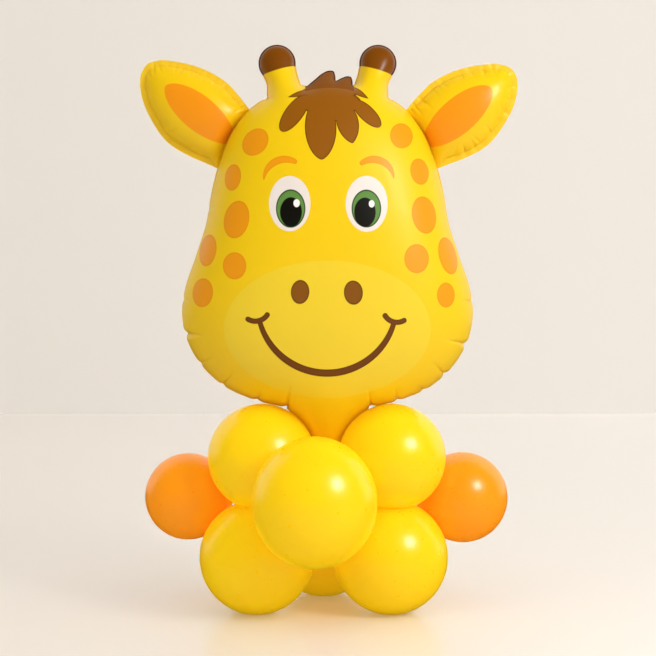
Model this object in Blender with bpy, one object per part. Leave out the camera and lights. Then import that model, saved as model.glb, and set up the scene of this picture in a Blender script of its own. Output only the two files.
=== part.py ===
"""Balloon giraffe: an air-filled foil head with two foil ears, held by its neck
in a base of nine latex balloons. Metres, +Z up, the face looks along -Y.
The origin is the middle of the footprint, on the floor."""

from math import cos, pi, radians, sin, sqrt

import bmesh
import bpy
import numpy as np
from mathutils import Matrix, Vector
from mathutils.geometry import delaunay_2d_cdt

# Gap between pieces that press on each other
TOUCH_GAP = 0.0003

# Lower layer of balloons, flattened a little where they stand on the floor
LOWER_RADIUS = 0.0540
LOWER_FRONT_GAP = 0.0181
LOWER_SHIFT = -0.0035
FLOOR_FLATTEN = 0.0015

# Upper layer, pressed down on the lower one
UPPER_RADIUS = 0.0504
UPPER_FRONT_GAP = 0.0220
UPPER_SHIFT = -0.0006
LAYER_PRESS = 0.0099

# Depth of the front balloons before the axis, and the press of the back ones on them
FRONT_DEPTH = 0.0200
BACK_PRESS = 0.0020

# Belly balloon, taller than it is wide, in the front hollow
BELLY_RADIUS = 0.0568
BELLY_TALL_RADIUS = 0.0600
BELLY_SHIFT = -0.0116
BELLY_RISE = 0.0125
BELLY_PRESS = 0.0160

# Side balloons, in the grooves between the layers
SIDE_RADIUS_LEFT = 0.0415
SIDE_RADIUS_RIGHT = 0.0433
SIDE_PRESS_LOWER = 0.0030
SIDE_PRESS_UPPER_LEFT = 0.0014
SIDE_PRESS_UPPER_RIGHT = 0.0049
SIDE_TURN = radians(27.0)

# Tied neck of a latex balloon
NECK_LENGTH = 0.0075
NECK_RADIUS = 0.0040
NECK_LIP_RADIUS = 0.0052
NECK_LIP_LENGTH = 0.0024
KNOT_DROP_UPPER = 0.0290
KNOT_RISE_LOWER = 0.0180

# Foil head, measured to the outer edge of its seal strip
HEAD_WIDTH = 0.2758
HEAD_HEIGHT = 0.3033
HEAD_DEPTH = 0.1500
HEAD_SEAM_DEPTH = 0.0040
HEAD_SEAL_WIDTH = 0.0020
SEAL_THICKNESS = 0.0010
CHIN_CLEARANCE = 0.0008
FOIL_REST_GAP = 0.0008

# Flat inflation neck of the head, hanging between the upper balloons
FOIL_NECK_WIDTH = 0.0160
FOIL_NECK_LENGTH = 0.0460

# Horns and the tuft of hair between them, part of the head's film
HORN_SPREAD = 0.0474
HORN_RISE = 0.0212
HORN_BALL_RADIUS = 0.0175
HORN_STEM_WIDTH = 0.0320
TUFT_LEFT = -0.0194
TUFT_WIDTH = 0.0432
TUFT_HEIGHT = 0.0167

# Foil ears, taped behind the head's seal strip
EAR_LENGTH = 0.1100
EAR_WIDTH = 0.0786
EAR_DEPTH = 0.0380
EAR_SEAL_WIDTH = 0.0055
EAR_RISE_LEFT = radians(38.4)
EAR_RISE_RIGHT = radians(35.6)
EAR_TAB_INSET = 0.0006

# Fineness of the solids
BALL_SEGMENTS = 22
BALL_RING_ANGLE = radians(15.0)
HEAD_EDGE_STEP = 0.0095
HEAD_FINE_STEP = 0.0055
HEAD_CELL = 0.0140
EAR_EDGE_STEP = 0.0075
EAR_CELL = 0.0115

# Half of the head's outline from the chin to the foot of a horn, as shares of half its
# width and of its height. A horn, the crown and the neck are added by rule.
HEAD_SIDE = (
    (0.290, 0.000),
    (0.400, 0.010),
    (0.520, 0.026),
    (0.700, 0.063),
    (0.850, 0.122),
    (0.950, 0.193),
    (1.000, 0.290),
    (0.985, 0.357),
    (0.900, 0.478),
    (0.832, 0.575),
    (0.797, 0.665),
    (0.740, 0.765),
    (0.655, 0.860),
    (0.530, 0.930),
    (0.415, 0.966),
)

# Half of the neck from its end up to the chin, as shares of half its width and of its length
FOIL_NECK_SIDE = (
    (1.00, 0.00),
    (1.15, 0.45),
    (1.85, 0.72),
    (3.10, 0.90),
)

# The tuft, as shares of its width and height: a long lobe and a short one
TUFT_SHAPE = (
    (0.00, 0.00),
    (0.20, 0.58),
    (0.39, 0.87),
    (0.56, 1.00),
    (0.62, 0.84),
    (0.64, 0.40),
    (0.76, 0.58),
    (0.91, 0.68),
    (0.98, 0.45),
    (1.00, 0.08),
)

# The stretch of the head's side, as shares of its height, behind which an ear is taped
EAR_ROOT = (0.745, 0.930)

# An ear from its upper root round the tip to its lower root, as shares of its length
# along its own axis and of its width across it
EAR_SHAPE = (
    (0.200, 0.445),
    (0.350, 0.478),
    (0.500, 0.460),
    (0.640, 0.408),
    (0.800, 0.305),
    (0.930, 0.185),
    (0.990, 0.060),
    (0.985, -0.060),
    (0.940, -0.170),
    (0.860, -0.280),
    (0.670, -0.430),
    (0.440, -0.520),
    (0.230, -0.490),
    (0.080, -0.435),
)

YELLOW_LATEX = (0.90, 0.62, 0.015)
ORANGE_LATEX = (0.85, 0.29, 0.015)
YELLOW_FOIL = (0.91, 0.63, 0.012)


def clear_scene():
    for thing in list(bpy.data.objects):
        bpy.data.objects.remove(thing, do_unlink=True)


def plain_material(name, colour, roughness):
    material = bpy.data.materials.new(name)
    material.use_nodes = True
    shader = material.node_tree.nodes["Principled BSDF"]
    shader.inputs["Base Color"].default_value = (*colour, 1.0)
    shader.inputs["Roughness"].default_value = roughness
    shader.inputs["Metallic"].default_value = 0.0
    return material


def add_object(name, form, material):
    """Puts a bmesh in the scene as a smooth-shaded object, facing outwards."""
    bmesh.ops.remove_doubles(form, verts=form.verts, dist=1e-6)
    bmesh.ops.recalc_face_normals(form, faces=form.faces)
    mesh = bpy.data.meshes.new(name)
    form.to_mesh(mesh)
    form.free()
    mesh.shade_smooth()
    mesh.set_sharp_from_angle(angle=radians(50.0))
    mesh.materials.append(material)
    thing = bpy.data.objects.new(name, mesh)
    bpy.context.scene.collection.objects.link(thing)
    return thing


# The base: where each latex balloon lies


def front_spots(radius, gap, shift):
    """Sideways places of the left and right front balloons of a layer."""
    half = radius + gap / 2
    return shift - half, shift + half


def back_depth(radius, gap):
    """How far behind the axis the third balloon of a layer lies on the other two."""
    across = radius + gap / 2
    return sqrt((2 * radius - BACK_PRESS) ** 2 - across**2) - FRONT_DEPTH


def balloon_plan():
    """Every latex balloon as its name, centre, radius and the point that its neck aims at."""
    low = LOWER_RADIUS - FLOOR_FLATTEN
    high = low + LOWER_RADIUS + UPPER_RADIUS - LAYER_PRESS
    groove = low + LOWER_RADIUS - LAYER_PRESS / 2
    low_left, low_right = front_spots(LOWER_RADIUS, LOWER_FRONT_GAP, LOWER_SHIFT)
    high_left, high_right = front_spots(UPPER_RADIUS, UPPER_FRONT_GAP, UPPER_SHIFT)
    low_knot = Vector((0, 0, low + KNOT_RISE_LOWER))
    high_knot = Vector((0, 0, high - KNOT_DROP_UPPER))
    belly_z = groove + BELLY_RISE
    belly_reach = BELLY_RADIUS + UPPER_RADIUS - BELLY_PRESS
    belly_y = -FRONT_DEPTH - sqrt(
        belly_reach**2 - (BELLY_SHIFT - high_left) ** 2 - (high - belly_z) ** 2
    )
    plan = [
        ("lower_front_left", Vector((low_left, -FRONT_DEPTH, low)), LOWER_RADIUS, low_knot),
        ("lower_front_right", Vector((low_right, -FRONT_DEPTH, low)), LOWER_RADIUS, low_knot),
        (
            "lower_back",
            Vector((LOWER_SHIFT, back_depth(LOWER_RADIUS, LOWER_FRONT_GAP), low)),
            LOWER_RADIUS,
            low_knot,
        ),
        ("upper_front_left", Vector((high_left, -FRONT_DEPTH, high)), UPPER_RADIUS, high_knot),
        ("upper_front_right", Vector((high_right, -FRONT_DEPTH, high)), UPPER_RADIUS, high_knot),
        (
            "upper_back",
            Vector((UPPER_SHIFT, back_depth(UPPER_RADIUS, UPPER_FRONT_GAP), high)),
            UPPER_RADIUS,
            high_knot,
        ),
        (
            "belly",
            Vector((BELLY_SHIFT, belly_y, belly_z)),
            BELLY_RADIUS,
            Vector((0, 0, groove)),
        ),
    ]
    sides = (
        ("side_left", -1, SIDE_RADIUS_LEFT, SIDE_PRESS_UPPER_LEFT, plan[0][1], plan[3][1]),
        ("side_right", 1, SIDE_RADIUS_RIGHT, SIDE_PRESS_UPPER_RIGHT, plan[1][1], plan[4][1]),
    )
    for name, way, radius, press, under, over in sides:
        to_under = radius + LOWER_RADIUS - SIDE_PRESS_LOWER
        to_over = radius + UPPER_RADIUS - press
        apart = (over - under).length
        up = (over - under) / apart
        along = (apart**2 + to_under**2 - to_over**2) / (2 * apart)
        turned = Vector((way * cos(SIDE_TURN), sin(SIDE_TURN), 0))
        sideways = (turned - turned.dot(up) * up).normalized()
        centre = under + along * up + sqrt(to_under**2 - along**2) * sideways
        plan.append((name, centre, radius, Vector((0, centre.y, groove))))
    return plan


def balloon_profile(radius):
    """Half outline of a latex balloon whose neck points along +Z, from crown to lip."""
    neck_end = radius + NECK_LENGTH
    points = []
    latitude = -pi / 2
    while latitude < radians(67.0):
        points.append((radius * cos(latitude), radius * sin(latitude)))
        latitude += BALL_RING_ANGLE
    points.append((NECK_RADIUS * 2.2, radius + NECK_LENGTH * 0.05))
    points.append((NECK_RADIUS, neck_end - NECK_LIP_LENGTH))
    points.append((NECK_LIP_RADIUS, neck_end - NECK_LIP_LENGTH * 0.6))
    points.append((NECK_LIP_RADIUS, neck_end))
    points.append((0.0, neck_end))
    return points


def cut_flat(form, point, outward):
    """Flattens a balloon where it presses on something, and closes the cut."""
    everything = list(form.verts) + list(form.edges) + list(form.faces)
    bmesh.ops.bisect_plane(
        form, geom=everything, plane_co=point, plane_no=outward, clear_outer=True, dist=1e-7
    )
    rim = [edge for edge in form.edges if edge.is_boundary]
    if rim:
        bmesh.ops.edgeloop_fill(form, edges=rim)


def balloon_form(centre, radius, stretch, knot, presses):
    form = bmesh.new()
    ring = [form.verts.new((r, 0.0, z)) for r, z in balloon_profile(radius)]
    line = [form.edges.new(pair) for pair in zip(ring, ring[1:])]
    bmesh.ops.spin(
        form,
        geom=ring + line,
        cent=(0, 0, 0),
        axis=(0, 0, 1),
        angle=2 * pi,
        steps=BALL_SEGMENTS,
        use_merge=True,
    )
    bmesh.ops.remove_doubles(form, verts=form.verts, dist=1e-6)
    aim = (knot - centre).to_track_quat("Z", "Y").to_matrix().to_4x4()
    upright = Matrix.Scale(stretch, 4, (0, 0, 1))
    bmesh.ops.transform(form, matrix=Matrix.Translation(centre) @ upright @ aim, verts=form.verts)
    for point, outward in presses:
        cut_flat(form, point, outward)
    return form


def press_planes(index, plan):
    """The flat contacts of one balloon: on the floor and on each balloon that it overlaps."""
    _, centre, radius, _ = plan[index]
    planes = []
    if centre.z < radius:
        planes.append((Vector((0, 0, 0)), Vector((0, 0, -1))))
    for other, (_, there, reach, _) in enumerate(plan):
        between = there - centre
        apart = between.length
        if other == index or apart > radius + reach + TOUCH_GAP:
            continue
        share = (apart**2 + radius**2 - reach**2) / (2 * apart)
        outward = between / apart
        planes.append((centre + outward * (share - TOUCH_GAP / 2), outward))
    return planes


def make_base(yellow, orange):
    plan = balloon_plan()
    for index, (name, centre, radius, knot) in enumerate(plan):
        stretch = BELLY_TALL_RADIUS / BELLY_RADIUS if name == "belly" else 1.0
        form = balloon_form(centre, radius, stretch, knot, press_planes(index, plan))
        add_object("balloon_" + name, form, orange if name.startswith("side") else yellow)
    return plan


# Foil pieces: an outline, filled with a mesh and blown up like a pillow


def curve_through(points, step):
    """Points every step along a smooth curve through the given points, both ends kept."""
    given = np.array(points, float)
    chord = np.r_[0.0, np.cumsum(np.linalg.norm(np.diff(given, axis=0), axis=1))]
    slope = np.gradient(given, chord, axis=0)
    count = max(1, round(chord[-1] / step))
    places = []
    for along in np.linspace(0.0, chord[-1], count + 1):
        i = min(np.searchsorted(chord, along, side="right") - 1, len(chord) - 2)
        span = chord[i + 1] - chord[i]
        t = (along - chord[i]) / span
        near = (2 * t**3 - 3 * t**2 + 1) * given[i] + (t**3 - 2 * t**2 + t) * span * slope[i]
        far = (3 * t**2 - 2 * t**3) * given[i + 1] + (t**3 - t**2) * span * slope[i + 1]
        places.append(tuple(near + far))
    return places


def arc_points(centre, radius, start, end, step):
    """Points along an arc of a circle in the seam plane."""
    count = max(1, round(abs(end - start) * radius / step))
    angles = np.linspace(start, end, count + 1)
    return [(centre[0] + radius * cos(a), centre[1] + radius * sin(a)) for a in angles]


def joined(*stretches):
    """One run of points from several, without the doubles where they meet."""
    run = []
    for stretch in stretches:
        for point in stretch:
            if not run or sqrt((point[0] - run[-1][0]) ** 2 + (point[1] - run[-1][1]) ** 2) > 1e-4:
                run.append(point)
    return run


def mirrored(run):
    return [(-x, z) for x, z in reversed(run)]


def chin_level(plan):
    """Height at which the head's lower edge just rests on the upper front balloons."""
    spots = {name: centre for name, centre, _, _ in plan}
    beside = min(-spots["upper_front_left"].x, spots["upper_front_right"].x)
    reach = sqrt(UPPER_RADIUS**2 - (FRONT_DEPTH - HEAD_SEAM_DEPTH) ** 2) + TOUCH_GAP
    seat = max(
        sqrt(reach**2 - (x * HEAD_WIDTH / 2 - beside) ** 2) - z * HEAD_HEIGHT
        for x, z in HEAD_SIDE
        if abs(x * HEAD_WIDTH / 2 - beside) < reach
    )
    return spots["upper_front_left"].z + seat + CHIN_CLEARANCE


def head_side(chin):
    return [(x * HEAD_WIDTH / 2, chin + z * HEAD_HEIGHT) for x, z in HEAD_SIDE]


def horn_outline(foot, crown):
    """The right horn from its outer foot over the ball to its inner foot."""
    centre = (HORN_SPREAD, crown + HORN_RISE)
    ball = arc_points(centre, HORN_BALL_RADIUS, radians(-37.0), radians(185.0), HEAD_FINE_STEP)
    outer = curve_through([foot, (foot[0], crown + HORN_RISE * 0.05), ball[0]], HEAD_FINE_STEP)
    inner_foot = foot[0] - HORN_STEM_WIDTH
    lean_in = (inner_foot + (ball[-1][0] - inner_foot) * 0.55, crown + HORN_RISE * 0.45)
    inner_end = (inner_foot, crown + HORN_RISE * 0.07)
    inner = curve_through([ball[-1], lean_in, inner_end], HEAD_FINE_STEP)
    return joined(outer, ball, inner)


def head_outline(chin):
    """The outer edge of the head's seal strip, counter-clockwise from the neck's end."""
    crown = chin + HEAD_HEIGHT
    side = head_side(chin)
    neck = [
        (x * FOIL_NECK_WIDTH / 2, chin + (z - 1) * FOIL_NECK_LENGTH) for x, z in FOIL_NECK_SIDE
    ]
    cheek = curve_through(neck + side, HEAD_EDGE_STEP)
    right = joined(cheek, horn_outline(side[-1], crown))
    tuft = [
        (TUFT_LEFT + x * TUFT_WIDTH, crown + z * TUFT_HEIGHT) for x, z in reversed(TUFT_SHAPE)
    ]
    long_lobe = curve_through(tuft[5:], HEAD_FINE_STEP)
    short_lobe = curve_through(tuft[:5], HEAD_FINE_STEP)
    return joined(right, short_lobe, long_lobe, mirrored(right))


def ear_outline(chin, way, rise):
    """The outer edge of an ear's seal strip. way is 1 for the right ear and -1 for the left."""
    side = np.array(curve_through(head_side(chin), EAR_EDGE_STEP / 3))
    height = (side[:, 1] - chin) / HEAD_HEIGHT
    run = np.gradient(side, axis=0)
    outward = np.stack([run[:, 1], -run[:, 0]], axis=1) / np.linalg.norm(run, axis=1)[:, None]
    tab = side + outward * (EAR_TAB_INSET - HEAD_SEAL_WIDTH)
    tab = tab[(height > EAR_ROOT[0]) & (height < EAR_ROOT[1])]
    root = curve_through(tab, EAR_EDGE_STEP)
    middle = (tab[0] + tab[-1]) / 2
    along = np.array((cos(rise), sin(rise)))
    across = np.array((-sin(rise), cos(rise)))
    leaf = [
        tuple(middle + u * EAR_LENGTH * along + v * EAR_WIDTH * across) for u, v in EAR_SHAPE
    ]
    edge = curve_through([root[-1]] + leaf + [root[0]], EAR_EDGE_STEP)
    loop = joined(root, edge)[:-1]
    return [(way * x, z) for x, z in loop]


def distance_to(points, outline):
    """Distance of each point to the nearest edge of a closed outline."""
    start = np.array(outline)
    edge = np.roll(start, -1, axis=0) - start
    nearest = np.full(len(points), np.inf)
    for a, e in zip(start, edge):
        t = np.clip(((points - a) @ e) / (e @ e), 0.0, 1.0)
        nearest = np.minimum(nearest, np.linalg.norm(points - a - t[:, None] * e, axis=1))
    return nearest


def inside(points, outline):
    """Which points lie inside a closed outline."""
    found = np.zeros(len(points), bool)
    for (ax, az), (bx, bz) in zip(outline, outline[1:] + outline[:1]):
        level = (az > points[:, 1]) != (bz > points[:, 1])
        if level.any():
            cross = ax + (points[:, 1] - az) * (bx - ax) / (bz - az)
            found ^= level & (points[:, 0] < cross)
    return found


def fill_points(outline, seal, cell):
    """Mesh points of a sheet: the outline, two rows beside the weld, and an even field."""
    start = np.array(outline)
    run = np.roll(start, -1, axis=0) - np.roll(start, 1, axis=0)
    inward = np.stack([-run[:, 1], run[:, 0]], axis=1) / np.linalg.norm(run, axis=1)[:, None]
    area = sum(a[0] * b[1] - a[1] * b[0] for a, b in zip(outline, outline[1:] + outline[:1]))
    inward *= np.sign(area)
    kept = [start]
    for depth in (seal, seal + cell * 0.35):
        row = start + inward * depth
        clear = inside(row, outline) & (distance_to(row, outline) > 0.985 * depth)
        kept.append(row[clear])
    low = start.min(axis=0)
    high = start.max(axis=0)
    lines = np.arange(low[1], high[1], cell * sqrt(0.75))
    field = [
        (x, z)
        for i, z in enumerate(lines)
        for x in np.arange(low[0] + (i % 2) * cell / 2, high[0], cell)
    ]
    field = np.array(field)
    clear = inside(field, outline) & (distance_to(field, outline) > seal + cell * 0.85)
    kept.append(field[clear])
    return np.concatenate(kept)


def film_mesh(outline, seal, cell):
    """Points and triangles that fill an outline, finer beside the weld."""
    points = fill_points(outline, seal, cell)
    rim = [(i, (i + 1) % len(outline)) for i in range(len(outline))]
    flat = [Vector(p) for p in points]
    places, _, faces, *_ = delaunay_2d_cdt(flat, rim, [list(range(len(outline)))], 1, 1e-7)
    return np.array([tuple(p) for p in places]), np.array(faces)


def pillow_height(points, faces, free):
    """Height of a blown-up film over its flat outline, from 0 on the weld to 1 at its top.
    It follows the bulge of a stretched skin, with the fuller shoulders of foil."""
    count = len(points)
    stiff = np.zeros((count, count))
    load = np.zeros(count)
    for a, b, c in faces:
        for i, j, k in ((a, b, c), (b, c, a), (c, a, b)):
            u = points[i] - points[k]
            v = points[j] - points[k]
            twice_area = abs(u[0] * v[1] - u[1] * v[0])
            weight = (u @ v) / twice_area / 2
            stiff[i, j] -= weight
            stiff[j, i] -= weight
            stiff[i, i] += weight
            stiff[j, j] += weight
            load[k] += twice_area / 6
    bulge = np.zeros(count)
    bulge[free] = np.linalg.solve(stiff[np.ix_(free, free)], load[free])
    share = np.clip(bulge / bulge.max(), 0.0, 1.0)
    return np.sqrt(share * (1.5 - 0.5 * share))


def rest_limits(points, seam_y, plan):
    """How far the front and back films can bulge before they lie on a latex balloon."""
    ahead = np.full(len(points), np.inf)
    behind = np.full(len(points), np.inf)
    for _, centre, radius, _ in plan:
        reach = radius**2 - (points[:, 0] - centre.x) ** 2 - (points[:, 1] - centre.z) ** 2
        met = reach > 0
        half = np.sqrt(reach[met])
        if centre.y > seam_y:
            room = centre.y - half - seam_y - FOIL_REST_GAP
            behind[met] = np.minimum(behind[met], room)
        else:
            room = seam_y - centre.y - half - FOIL_REST_GAP
            ahead[met] = np.minimum(ahead[met], room)
    return ahead, behind


def pillow_form(outline, seal, cell, depth, seam_y, plan=()):
    """A closed foil pillow: front and back films over a flat seal strip."""
    points, faces = film_mesh(outline, seal, cell)
    free = distance_to(points, outline) > seal * 1.02
    height = pillow_height(points, faces, free) * (depth - SEAL_THICKNESS) / 2
    height += SEAL_THICKNESS / 2
    ahead, behind = rest_limits(points, seam_y, plan)
    before = np.minimum(height, ahead)
    after = np.minimum(height, behind)
    form = bmesh.new()
    front = [form.verts.new((x, seam_y - h, z)) for (x, z), h in zip(points, before)]
    back = [form.verts.new((x, seam_y + h, z)) for (x, z), h in zip(points, after)]
    for a, b, c in faces:
        form.faces.new((front[a], front[b], front[c]))
        form.faces.new((back[c], back[b], back[a]))
    rim = [edge for edge in form.edges if edge.is_boundary]
    bmesh.ops.bridge_loops(form, edges=rim)
    return form


def make_head(chin, plan, material):
    form = pillow_form(
        head_outline(chin), HEAD_SEAL_WIDTH, HEAD_CELL, HEAD_DEPTH, -HEAD_SEAM_DEPTH, plan
    )
    add_object("foil_head", form, material)


def make_ears(chin, material):
    seam_y = SEAL_THICKNESS + TOUCH_GAP - HEAD_SEAM_DEPTH
    for name, way, rise in (("ear_left", -1, EAR_RISE_LEFT), ("ear_right", 1, EAR_RISE_RIGHT)):
        outline = ear_outline(chin, way, rise)
        form = pillow_form(outline, EAR_SEAL_WIDTH, EAR_CELL, EAR_DEPTH, seam_y)
        add_object(name, form, material)


def centre_footprint():
    """Moves every mesh so that the middle of the whole box is over the origin."""
    things = list(bpy.context.scene.objects)
    corners = np.array([tuple(vert.co) for thing in things for vert in thing.data.vertices])
    middle = (corners.min(axis=0) + corners.max(axis=0)) / 2
    for thing in things:
        thing.data.transform(Matrix.Translation((-middle[0], -middle[1], 0.0)))


clear_scene()
yellow_latex = plain_material("yellow_latex", YELLOW_LATEX, 0.30)
orange_latex = plain_material("orange_latex", ORANGE_LATEX, 0.30)
yellow_foil = plain_material("yellow_foil", YELLOW_FOIL, 0.25)
balloons = make_base(yellow_latex, orange_latex)
chin_z = chin_level(balloons)
make_head(chin_z, balloons, yellow_foil)
make_ears(chin_z, yellow_foil)
centre_footprint()
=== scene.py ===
"""The balloon giraffe: a foil head on a base of nine latex balloons, in a plain pale room.
Metres, +Z up, the face looks along -Y. Each section makes one kind of piece."""

from math import cos, pi, radians, sin, sqrt

import bmesh
import bpy
import numpy as np
from mathutils import Matrix, Vector
from mathutils.geometry import delaunay_2d_cdt


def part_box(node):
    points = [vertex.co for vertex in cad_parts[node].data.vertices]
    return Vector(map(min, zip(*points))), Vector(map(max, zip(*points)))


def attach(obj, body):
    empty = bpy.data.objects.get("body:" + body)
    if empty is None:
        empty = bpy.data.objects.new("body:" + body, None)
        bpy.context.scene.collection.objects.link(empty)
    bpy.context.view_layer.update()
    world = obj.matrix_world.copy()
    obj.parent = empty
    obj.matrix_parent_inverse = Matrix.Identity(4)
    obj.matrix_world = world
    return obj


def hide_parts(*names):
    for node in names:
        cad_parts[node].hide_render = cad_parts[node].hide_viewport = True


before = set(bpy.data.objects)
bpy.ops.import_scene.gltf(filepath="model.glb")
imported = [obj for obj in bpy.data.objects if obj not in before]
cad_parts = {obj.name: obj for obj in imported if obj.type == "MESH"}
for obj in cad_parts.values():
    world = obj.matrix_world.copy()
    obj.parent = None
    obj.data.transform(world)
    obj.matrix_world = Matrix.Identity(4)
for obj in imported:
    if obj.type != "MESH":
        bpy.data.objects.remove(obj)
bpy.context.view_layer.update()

# The camera
# It stands about 1.6 m in front of the seam at the height of the smile and looks
# a little down, as the photograph was taken.

# The middle of the head across, and the plane of its seam
head_low, head_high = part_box("foil_head")
HEAD_X = (head_low.x + head_high.x) / 2
SEAM_Y = (head_low.y + head_high.y) / 2

CAMERA_DISTANCE = 1.579
CAMERA_HEIGHT = 0.338
CAMERA_LENS = 91.56
SENSOR_WIDTH = 36.0
AIM_HEIGHT = 0.2680
AIM_ASIDE = 0.0005

lens = bpy.data.cameras.new("camera")
lens.lens = CAMERA_LENS
lens.sensor_width = SENSOR_WIDTH
camera = bpy.data.objects.new("camera", lens)
camera.location = (HEAD_X, SEAM_Y - CAMERA_DISTANCE, CAMERA_HEIGHT)
aim = Vector((HEAD_X + AIM_ASIDE, SEAM_Y, AIM_HEIGHT)) - camera.location
camera.rotation_euler = aim.to_track_quat("-Z", "Y").to_euler()
bpy.context.scene.collection.objects.link(camera)
bpy.context.scene.camera = camera
bpy.context.scene.view_settings.view_transform = "Standard"


# The room
# A pale matt table top that meets a pale wall, a soft box up on the right, and even
# white light from all other sides. It is not part of the object.

WALL_DEPTH = 1.95
ROOM_WIDTH = 14.0
ROOM_FRONT = -6.0
WALL_HEIGHT = 5.0
# Painted light: floor and wall are painted lighter on the right, towards the soft box, and glow
# faintly.
FLOOR_LEFT = (0.76, 0.715, 0.67)
FLOOR_RIGHT = (0.86, 0.83, 0.79)
WALL_LEFT = (0.85, 0.82, 0.78)
WALL_RIGHT = (0.90, 0.87, 0.835)
TONE_HALF = 0.60


def place_piece(name, form, material):
    """Makes a finished bmesh an object at the origin, shaded smooth."""
    mesh = bpy.data.meshes.new(name)
    form.to_mesh(mesh)
    form.free()
    mesh.shade_smooth()
    mesh.materials.append(material)
    piece = bpy.data.objects.new(name, mesh)
    bpy.context.scene.collection.objects.link(piece)
    return piece


def new_material(name):
    """An empty node material, its node tree and its Principled shader."""
    material = bpy.data.materials.new(name)
    material.use_nodes = True
    tree = material.node_tree
    return material, tree, tree.nodes["Principled BSDF"]


class Field:
    """What a node puts out over a surface: a number, a colour or a place. Sums of fields
    and numbers add Math nodes to the same tree."""

    def __init__(self, tree, socket):
        self.tree = tree
        self.socket = socket

    def math(self, operation, *others, clamp=False):
        node = self.tree.nodes.new("ShaderNodeMath")
        node.operation = operation
        node.use_clamp = clamp
        for socket, value in zip(node.inputs, (self, *others)):
            feed(value, socket)
        return Field(self.tree, node.outputs[0])

    def __add__(self, other):
        return self.math("ADD", other)

    def __sub__(self, other):
        return self.math("SUBTRACT", other)

    def __rsub__(self, other):
        return self.math("MULTIPLY_ADD", -1.0, other)

    def __mul__(self, other):
        return self.math("MULTIPLY", other)

    def __truediv__(self, other):
        return self.math("DIVIDE", other)

    def __pow__(self, power):
        return self.math("POWER", power)

    def __neg__(self):
        return self.math("MULTIPLY", -1.0)

    def __abs__(self):
        return self.math("ABSOLUTE")

    def root(self):
        return self.math("SQRT")

    def least(self, other):
        return self.math("MINIMUM", other)

    def most(self, other):
        return self.math("MAXIMUM", other)

    def below(self, other):
        return self.math("LESS_THAN", other)


def feed(value, socket):
    """Links a field to a node's input, or sets the input to a number or a colour."""
    if isinstance(value, Field):
        value.tree.links.new(value.socket, socket)
    elif isinstance(value, tuple):
        socket.default_value = (*value, 1.0)[: len(socket.default_value)]
    else:
        socket.default_value = value


def feed_all(node, values):
    for label, value in values.items():
        feed(value, node.inputs[label])


def object_place(tree):
    return Field(tree, tree.nodes.new("ShaderNodeTexCoord").outputs["Object"])


def split(place):
    """A place's three coordinates."""
    node = place.tree.nodes.new("ShaderNodeSeparateXYZ")
    feed(place, node.inputs["Vector"])
    return [Field(place.tree, socket) for socket in node.outputs]


def mix(factor, under, over):
    """A colour mix. Under and over are fields or colours."""
    node = factor.tree.nodes.new("ShaderNodeMix")
    node.data_type = "RGBA"
    feed_all(node, {"Factor": factor, "A": under, "B": over})
    return Field(factor.tree, node.outputs["Result"])


def plain_stage_material(name, left, right, roughness, specular, painted_glow):
    """A plain surface with painted light: its colour is a little lighter on the right, where the
    soft box stands, and it glows faintly in its own colour.
    """
    material, tree, shader = new_material(name)
    x, _, _ = split(object_place(tree))
    # Painted light: the colour grows lighter towards the soft box on the right, and the surface
    # glows faintly.
    painted_light_tone = mix(x.math("MULTIPLY_ADD", 0.5 / TONE_HALF, 0.5, clamp=True), left, right)
    feed_all(
        shader,
        {
            "Base Color": painted_light_tone,
            "Emission Color": painted_light_tone,
            "Emission Strength": painted_glow,
            "Roughness": roughness,
            "Specular IOR Level": specular,
        },
    )
    return material


def room_sheet(name, corners, material, mirrored):
    """One rectangle of the room. What isn't mirrored doesn't show in the object's gloss."""
    form = bmesh.new()
    form.faces.new([form.verts.new(corner) for corner in corners])
    sheet = place_piece(name, form, material)
    sheet.visible_glossy = mirrored


half = ROOM_WIDTH / 2
table_corners = ((-half, ROOM_FRONT), (half, ROOM_FRONT), (half, WALL_DEPTH), (-half, WALL_DEPTH))
wall_corners = ((-half, 0), (half, 0), (half, WALL_HEIGHT), (-half, WALL_HEIGHT))
pale_table = plain_stage_material(
    "pale_table", FLOOR_LEFT, FLOOR_RIGHT, roughness=0.26, specular=0.50, painted_glow=0.10
)
pale_wall = plain_stage_material(
    "pale_wall", WALL_LEFT, WALL_RIGHT, roughness=0.9, specular=0.1, painted_glow=0.10
)
room_sheet("floor", [(x, y, 0) for x, y in table_corners], pale_table, mirrored=False)
room_sheet("wall", [(x, WALL_DEPTH, z) for x, z in wall_corners], pale_wall, mirrored=True)

# Soft box: its direction from the middle of the object, distance, side and power
KEY_WAY = Vector((0.65, -0.62, 0.43)).normalized()
KEY_DISTANCE = 1.25
KEY_SIDE = 0.34
KEY_POWER = 5.8
KEY_COLOUR = (1.0, 0.97, 0.93)
OBJECT_MIDDLE = Vector((0.0, 0.0, 0.27))

key_light = bpy.data.lights.new("soft_box", "AREA")
key_light.shape = "SQUARE"
key_light.size = KEY_SIDE
key_light.energy = KEY_POWER
key_light.color = KEY_COLOUR
key = bpy.data.objects.new("soft_box", key_light)
key.location = OBJECT_MIDDLE + KEY_WAY * KEY_DISTANCE
key.rotation_euler = (-KEY_WAY).to_track_quat("-Z", "Y").to_euler()
bpy.context.scene.collection.objects.link(key)

# The room's own light: two soft halves of a pale room, one behind the camera and one
# behind the object, which aren't mirrored in it, so that its colours stay deep
SKY_COLOUR = (1.0, 0.965, 0.925)
SKY_ANGLE = radians(150.0)
SKY_HALVES = (
    ("room_in_front", (0.10, -1.0, 0.25), 2.05),
    ("room_behind", (0.0, 0.6, 0.8), 1.34),
)
SKY_SEEN = 0.88
SKY_REST = 0.15

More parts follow.
